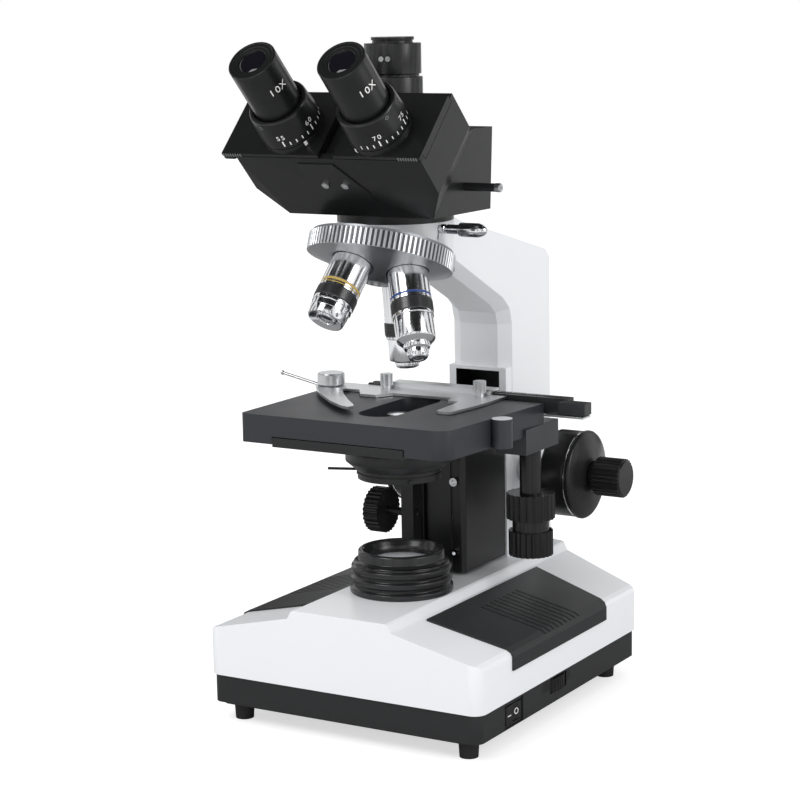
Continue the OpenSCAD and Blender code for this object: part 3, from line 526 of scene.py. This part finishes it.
# Radii and distances from APEX, in mm, down the outside and back up the bore
TOP_OF_ALL = [(6.5, 56.0), (10.1, 56.0), (10.1, 60.0), (11.5, 60.0), (11.75, 60.3)]
OBJECTIVES = {
    "ten": {
        "turn": TURRET_TURN + 180,
        "body": [(11.75, 79.3), (11.5, 79.5), (11.5, 81.0), (11.75, 81.2), (11.75, 81.9), (11.5, 82.0),
                 (11.5, 82.5), (11.75, 82.6), (11.75, 83.6), (11.4, 83.8), (11.4, 90.6), (11.7, 90.8),
                 (11.8, 91.2), (11.8, 93.0), (11.55, 93.3), (11.2, 93.4), (11.2, 96.8), (11.05, 97.0),
                 (10.7, 101.0), (10.3, 101.8), (9.7, 102.0), (9.3, 101.7), (6.0, 100.7), (5.7, 101.2),
                 (5.2, 101.4), (4.8, 101.2), (4.6, 100.6), (4.6, 97.0), (6.5, 94.0)],
        "bands": [(79.6, 80.9), (82.05, 82.45)], "colour": "yellow_band",
        "grip": (83.8, 90.6), "lens": (4.6, 100.2)},
    "forty": {
        "turn": TURRET_TURN + 90,
        "body": [(11.75, 77.6), (11.5, 77.8), (11.5, 78.8), (11.75, 79.0), (11.75, 79.7), (11.55, 79.8),
                 (11.55, 80.0), (11.75, 80.1), (11.75, 80.7), (11.4, 80.9), (11.4, 88.3), (11.75, 88.5),
                 (11.85, 88.9), (11.85, 90.1), (11.6, 90.5), (11.25, 90.7), (11.2, 102.8), (11.0, 103.6),
                 (10.6, 104.1), (8.5, 106.2), (8.3, 106.3), (7.7, 106.3), (7.6, 108.0), (7.2, 108.9),
                 (6.3, 109.4), (5.9, 109.8), (5.9, 110.3), (6.2, 110.6), (6.2, 112.6), (5.9, 113.4),
                 (5.2, 114.6), (4.6, 115.0), (3.0, 115.0), (2.7, 114.6), (2.7, 111.0), (6.5, 104.0)],
        "bands": [(77.85, 78.75)], "colour": "blue_band",
        "grip": (80.9, 88.3), "lens": (2.7, 114.2)},
    "hundred": {
        "turn": TURRET_TURN,
        "body": [(11.75, 84.4), (11.4, 84.6), (11.4, 92.4), (11.7, 92.6), (11.75, 93.0), (11.75, 93.8),
                 (11.3, 94.2), (10.5, 94.4), (10.4, 106.4), (10.2, 107.0), (7.6, 107.9), (7.3, 108.2),
                 (7.3, 109.2), (7.0, 109.5), (6.4, 109.6), (6.4, 110.0), (6.7, 110.3), (6.5, 110.9),
                 (5.6, 111.5), (4.6, 111.7), (2.4, 111.7), (2.2, 111.2), (2.2, 106.0), (6.5, 100.0)],
        "bands": [], "colour": "chrome",
        "grip": (84.6, 92.4), "lens": (2.2, 110.8)},
}
BAND_BED_R, BAND_R = 11.4, 11.72
GRIP_ROWS = 4
GRIP_BED_R, GRIP_EDGE_R, GRIP_R = 11.3, 11.7, 11.85

for name, made in OBJECTIVES.items():
    place = objective_place(made["turn"])
    shell = settle(lathe(TOP_OF_ALL + made["body"], 96), name + "_shell", "nosepiece", "chrome", place, 25)
    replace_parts(shell, name + "_objective")
    for i, (low, high) in enumerate(made["bands"]):
        band = lathe([(BAND_BED_R, low), (BAND_R, low), (BAND_R, high), (BAND_BED_R, high)])
        settle(band, f"{name}_band_{i + 1}", "nosepiece", made["colour"], place)
    low, high = made["grip"]
    low, high = low + 0.1, high - 0.1
    step = (high - low - 0.6) / GRIP_ROWS
    rows = [low + 0.3 + step * i for i in range(GRIP_ROWS + 1)]
    grip = lathe([(GRIP_BED_R, low), (GRIP_EDGE_R, low)] + [(GRIP_R, z) for z in rows]
                 + [(GRIP_EDGE_R, high), (GRIP_BED_R, high)], 144)
    for i in range(GRIP_ROWS):
        rib(grip, rows[i], rows[i + 1], 0.06, 0.2, i % 2)
    settle(grip, name + "_grip", "nosepiece", "knurl_black", place, 25)
    lens_r, front = made["lens"]
    lens = lathe([(lens_r, front - 1.6), (lens_r, front - 0.6), (lens_r * 0.7, front - 0.25),
                  (lens_r * 0.3, front - 0.05), (0.02, front)], 48, ring=False)
    settle(lens, name + "_front_lens", "nosepiece", "dark_glass", place)


# --- Eyepieces and their rings --------------------------------------------------------------------

# The side, and the figures by their angle round the ring
NUMBERS = {"left": (-1, {16: "55", 76: "60", 136: "65"}), "right": (1, {31: "70", 91: "75"})}


def sign(word, tall, name, body, place, finish="white_mark"):
    """Flat, centred figures, slightly raised."""
    fresh()
    bpy.ops.object.text_add(location=(0, 0, 0))
    obj = bpy.context.object
    obj.data.body = word
    obj.data.size = tall * MM
    obj.data.extrude = 0.04 * MM
    obj.data.align_x, obj.data.align_y = "CENTER", "CENTER"
    bpy.ops.object.convert(target="MESH")
    return settle(bpy.context.object, name, body, finish, place)


def ring_spot(side, angle, radius, height):
    """On a ring's wall, facing outwards, with up along the tube."""
    return eye_place(side) @ turn(angle, "Z") @ move(0, -radius, height) @ turn(90, "X")


# Between two figures' middles, as a share of their height
LETTER_STEP = 0.64


def wrapped(word, tall, name, body, side, angle, radius, height):
    """Figures set one by one round a tube."""
    for i, letter in enumerate(word):
        off = math.degrees((i - (len(word) - 1) / 2) * tall * LETTER_STEP / radius)
        sign(letter, tall, f"{name}_{i + 1}", body, ring_spot(side, angle + off, radius, height))


FINISHES["left_ring_marks"] = ring_finish("left_ring_marks", -1, *LEFT_SCALE)
FINISHES["right_ring_marks"] = ring_finish("right_ring_marks", 1, *RIGHT_SCALE)
EYE_R = 13.8
EYE_BORE_R = 8.0
POWER_ANGLE, POWER_Z, POWER_TALL = 62, 42.5, 6.2
FIGURE_Z, FIGURE_TALL = 14.6, 4.4
PIN_ANGLES = {"left": -14, "right": 64}
PIN_Z = 22.2

for word, (side, figures) in NUMBERS.items():
    place = eye_place(side)
    barrel = lathe([(EYE_BORE_R, -2.0), (11.6, -2.0), (11.6, 23.2), (EYE_R - 0.4, 23.4), (EYE_R, 23.8),
                    (EYE_R, 56.9), (EYE_R - 0.12, 57.0), (EYE_R - 0.12, 57.3), (EYE_R, 57.4),
                    (EYE_R, 58.1), (EYE_R - 0.5, 58.6), (EYE_R - 1.2, 58.6), (EYE_R - 1.5, 58.35),
                    (10.3, 58.3), (10.0, 58.0), (8.3, 57.9), (EYE_BORE_R, 57.6)], 96)
    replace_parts(settle(barrel, word + "_barrel", word + "_ocular", "head_black", place), word + "_eyepiece")
    ring = lathe([(12.9, 6.3), (RING_R - 0.3, 6.3), (RING_R, 6.7), (RING_R, 11.2), (RING_R - 0.1, 12.0),
                  (RING_R - 0.9, 23.4), (RING_R - 1.1, 24.4), (RING_R - 1.6, 25.0), (RING_R - 2.4, 25.2),
                  (15.0, 25.2), (14.6, 24.8), (14.4, 22.9), (12.9, 22.9)], 120)
    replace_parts(settle(ring, word + "_scale_ring", word + "_focus", word + "_ring_marks", place), word + "_ring")
    glass = lathe([(EYE_BORE_R, 54.0), (EYE_BORE_R, 57.3), (7.4, 57.55), (6.4, 57.8), (5.0, 58.05),
                   (3.2, 58.25), (1.4, 58.33), (0.02, 58.35)], 64, ring=False)
    settle(glass, word + "_eye_lens", word + "_ocular", "eye_glass", place)
    wrapped("10X", POWER_TALL, word + "_power", word + "_ocular",
            side, POWER_ANGLE, EYE_R + 0.03, POWER_Z)
    pin = lathe([(0.7, -0.3), (1.15, -0.3), (1.15, 0.1), (0.7, 0.1)], 24)
    settle(pin, word + "_ring_pin", word + "_focus", "pale_grey",
           ring_spot(side, PIN_ANGLES[word], RING_R - 0.82, PIN_Z))
    for angle, figure in figures.items():
        wrapped(figure, FIGURE_TALL, f"{word}_figure_{figure}", word + "_focus",
                side, angle, RING_R - 0.2, FIGURE_Z)


# --- Grips, signs and the lever -------------------------------------------------------------------

def teeth(count, step, size, name, body, finish, place):
    """A row of small rounded ribs."""
    fresh()
    bpy.ops.mesh.primitive_cube_add(size=1.0, location=(0, 0, 0))
    obj = bpy.context.object
    obj.scale = [v * MM for v in size]
    bpy.ops.object.transform_apply(location=False, rotation=False, scale=True)
    bpy.ops.object.mode_set(mode="EDIT")
    bpy.ops.mesh.select_all(action="SELECT")
    bpy.ops.mesh.bevel(offset=min(size) * 0.3 * MM, segments=2, affect="EDGES")
    bpy.ops.object.mode_set(mode="OBJECT")
    bpy.ops.object.modifier_add(type="ARRAY")
    row = obj.modifiers[-1]
    row.count = count
    row.use_relative_offset = False
    row.use_constant_offset = True
    row.constant_offset_displace = (step * MM, 0, 0)
    bpy.ops.object.modifier_apply(modifier=row.name)
    return settle(obj, name, body, finish, place)


GRIP_TEETH = 8
TOOTH_STEP, TOOTH_SIZE = 1.6, (0.75, 1.1, 2.0)
SLIDE_END_SIZE = (8.0, 4.6, 3.4)
for word, first in (("left", -67.5), ("right", 46.5)):
    teeth(GRIP_TEETH, TOOTH_STEP, TOOTH_SIZE, word + "_slide_grip", word + "_tube", "pale_grey",
          FACE @ move(first, 0.1, 1.3))
teeth(1, 0, SLIDE_END_SIZE, "left_slide_end", "left_tube", "head_black", FACE @ move(-65.2, 2.5, -1.2))

sign("\u2013", 8.0, "switch_off_side", "rocker", beam_place(89.75, -33.6, 9.6))
sign("O", 5.2, "switch_on_side", "rocker", beam_place(89.5, -24.9, 9.6) @ turn(-8, "Y"))

tip = lathe([(0.4, 37.2), (2.0, 37.2), (2.5, 37.5), (2.6, 38.2), (2.6, 40.6), (2.3, 41.0), (0.4, 41.2)], 40)
settle(tip, "lever_tip", "lever", "steel", move(29.5, -2, 305) @ turn(90, "Y"))

# Coarse knobs: a fluted drum, a bright bead and a front disc that rises to the fine knob
for word, sign_x in (("right", 1), ("left", -1)):
    place = move(sign_x * KNOB_X, KNOB_Y, KNOB_Z) @ turn(sign_x * 90, "Y")
    drum = lathe([(8.2, 0.0), (25.6, 0.0), (27.3, 0.5), (27.9, 1.6), (27.9, 14.6), (27.4, 15.8),
                  (26.2, 16.6), (8.2, 16.6)], 240, flutes=30, depth=0.958)
    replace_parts(settle(drum, word + "_drum", "coarse", "black_plastic", place, 25), word + "_coarse_knob")
    bead = lathe([(25.0, 16.3), (26.3, 16.5), (26.6, 16.8), (26.6, 17.0), (26.3, 17.3), (25.0, 17.4)], 120)
    settle(bead, word + "_bead", "coarse", "chrome", place)
    disc = lathe([(4.7, 16.6), (25.4, 16.6), (25.4, 17.6), (26.9, 17.9), (27.4, 18.5), (27.4, 19.6),
                  (26.9, 20.4), (25.6, 21.0), (20.0, 22.4), (14.0, 23.6), (12.4, 24.2), (11.0, 24.4),
                  (4.7, 24.4)], 120)
    settle(disc, word + "_disc", "coarse", "black_plastic", place)

thumb = lathe([(1.85, 24.6), (1.85, 33.7), (2.5, 33.9), (2.75, 34.5), (2.75, 36.6), (2.2, 37.0),
               (2.2, 37.8), (2.75, 38.2), (2.75, 46.0), (3.8, 46.3), (4.05, 46.8), (4.05, 57.8),
               (3.8, 59.2), (3.2, 60.8), (2.2, 62.3), (1.1, 63.1), (0.02, 63.4)], 48, ring=False)
settle(thumb, "clamp_thumb_screw", "clamp_screw", "chrome", move(0, -6, 281) @ turn(90, "Y"))
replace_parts(thumb, "head_screw")


# --- Camera, light and floor ----------------------------------------------------------------------

# Degrees, metres, and pixels for an image 800 wide
CAMERA_AZIMUTH, CAMERA_DOWN, CAMERA_ROLL = 30.95, 10.12, -0.99
CAMERA_PLACE = (0.6768, -1.1271, 0.4133)
FOCAL_PIXELS, IMAGE_PIXELS, SENSOR_MM = 2280.77, 800, 36.0
# The wall of cards: distance, height of its middle and tallness in metres
CARD_RADIUS, CARD_Z, CARD_TALL = 1.7, 0.45, 1.5
# Degrees round from the camera, and width in metres
CARD_ANGLES = ((-165, 0.5), (-132, 0.35), (-104, 0.3), (-78, 0.24), (-52, 0.3), (-24, 0.18), (8, 0.14),
               (22, 0.2), (52, 0.34), (80, 0.24), (108, 0.34), (140, 0.4), (172, 0.4))
CARD_TONE, CEILING_TONE, TABLE_TONE = 0.03, 0.02, 0.3


def set_camera():
    around, down, roll = (math.radians(a) for a in (CAMERA_AZIMUTH, CAMERA_DOWN, CAMERA_ROLL))
    ahead = Vector((-math.sin(around), math.cos(around), 0))
    back = -(ahead * math.cos(down) - Vector((0, 0, math.sin(down))))
    level_up = ahead * math.sin(down) + Vector((0, 0, math.cos(down)))
    level_right = Vector((math.cos(around), math.sin(around), 0))
    right = level_right * math.cos(roll) + level_up * math.sin(roll)
    up = level_up * math.cos(roll) - level_right * math.sin(roll)
    data = bpy.data.cameras.new("Camera")
    data.sensor_width = SENSOR_MM
    data.lens = SENSOR_MM * FOCAL_PIXELS / IMAGE_PIXELS
    data.clip_start, data.clip_end = 0.05, 20.0
    camera = bpy.data.objects.new("Camera", data)
    bpy.context.scene.collection.objects.link(camera)
    facing = Matrix((right, up, back)).transposed().to_4x4()
    camera.matrix_world = Matrix.Translation(CAMERA_PLACE) @ facing
    bpy.context.scene.camera = camera


def softbox(name, place, aim, width, height, power):
    data = bpy.data.lights.new(name, "AREA")
    data.shape, data.size, data.size_y, data.energy = "RECTANGLE", width, height, power
    light = bpy.data.objects.new(name, data)
    bpy.context.scene.collection.objects.link(light)
    light.location = place
    light.rotation_euler = (Vector(aim) - Vector(place)).to_track_quat("-Z", "Y").to_euler()
    light.visible_camera = False
    return light


def set_room():
    """White to the camera and in reflections, and a plain soft light on everything."""
    world = bpy.data.worlds.new("Studio")
    bpy.context.scene.world = world
    world.use_nodes = True
    nodes, links = world.node_tree.nodes, world.node_tree.links
    nodes.clear()
    path = nodes.new("ShaderNodeLightPath")
    seen = nodes.new("ShaderNodeMath")
    seen.operation = "MAXIMUM"
    either = nodes.new("ShaderNodeMath")
    either.operation = "MAXIMUM"
    links.new(path.outputs["Is Camera Ray"], either.inputs[0])
    links.new(path.outputs["Is Glossy Ray"], either.inputs[1])
    links.new(either.outputs[0], seen.inputs[0])
    links.new(path.outputs["Is Transmission Ray"], seen.inputs[1])
    soft, white = nodes.new("ShaderNodeBackground"), nodes.new("ShaderNodeBackground")
    soft.inputs["Color"].default_value = (1, 1, 1, 1)
    soft.inputs["Strength"].default_value = 0.8
    white.inputs["Color"].default_value = (1, 1, 1, 1)
    white.inputs["Strength"].default_value = 1.0
    mix, out = nodes.new("ShaderNodeMixShader"), nodes.new("ShaderNodeOutputWorld")
    links.new(seen.outputs[0], mix.inputs[0])
    links.new(soft.outputs[0], mix.inputs[1])
    links.new(white.outputs[0], mix.inputs[2])
    links.new(mix.outputs[0], out.inputs["Surface"])
    softbox("Key", (-0.5, -1.3, 1.5), (0, 0, 0.15), 0.8, 0.8, 13.0)
    softbox("Side", (1.5, -0.1, 0.9), (0, 0, 0.15), 0.5, 1.0, 7.0)


def set_floor():
    fresh()
    bpy.ops.mesh.primitive_plane_add(size=8.0, location=(0, 0, FLOOR_Z * MM))
    floor = bpy.context.object
    floor.name = "Floor"
    paper = Finish("Paper", (0.95, 0.95, 0.95), 0.9, Specular_IOR_Level=0.1)
    nodes, links = paper.tree.nodes, paper.tree.links
    path = nodes.new("ShaderNodeLightPath")
    glow = nodes.new("ShaderNodeEmission")
    share = nodes.new("ShaderNodeMath")
    glow.inputs["Strength"].default_value = 1.75
    share.operation = "MULTIPLY"
    share.inputs[1].default_value = 0.35
    links.new(path.outputs["Is Camera Ray"], share.inputs[0])
    mix = nodes.new("ShaderNodeMixShader")
    links.new(share.outputs[0], mix.inputs[0])
    links.new(paper.shader.outputs[0], mix.inputs[1])
    links.new(glow.outputs[0], mix.inputs[2])
    links.new(mix.outputs[0], nodes["Material Output"].inputs["Surface"])
    floor.data.materials.append(paper.mat)
    set_cards()


def set_cards():
    """Dark cards that only reflections see: bright metal has something to show, and black tops stay black."""
    cards = [((0, 0, 2.2), (5.0, 5.0), CEILING_TONE), ((0, 0, -0.0092), (1.4, 1.4), TABLE_TONE)]
    for off, wide in CARD_ANGLES:
        around = math.radians(CAMERA_AZIMUTH - 90 + off)
        place = (CARD_RADIUS * math.cos(around), CARD_RADIUS * math.sin(around), CARD_Z)
        cards.append((place, (wide, CARD_TALL), CARD_TONE))
    for place, (wide, tall), tone in cards:
        fresh()
        bpy.ops.mesh.primitive_plane_add(size=1.0, location=place)
        card = bpy.context.object
        card.scale = (wide, tall, 1)
        card.rotation_euler = (Vector((0, 0, 0.3)) - Vector(place)).to_track_quat("-Z", "Y").to_euler()
        card.data.materials.append(Finish("Card", (tone, tone, tone), 1.0, Specular_IOR_Level=0.0).mat)
        card.visible_camera = card.visible_diffuse = False
        card.visible_shadow = card.visible_transmission = False


set_camera()
set_room()
set_floor()
bpy.context.scene.view_settings.view_transform = "Standard"
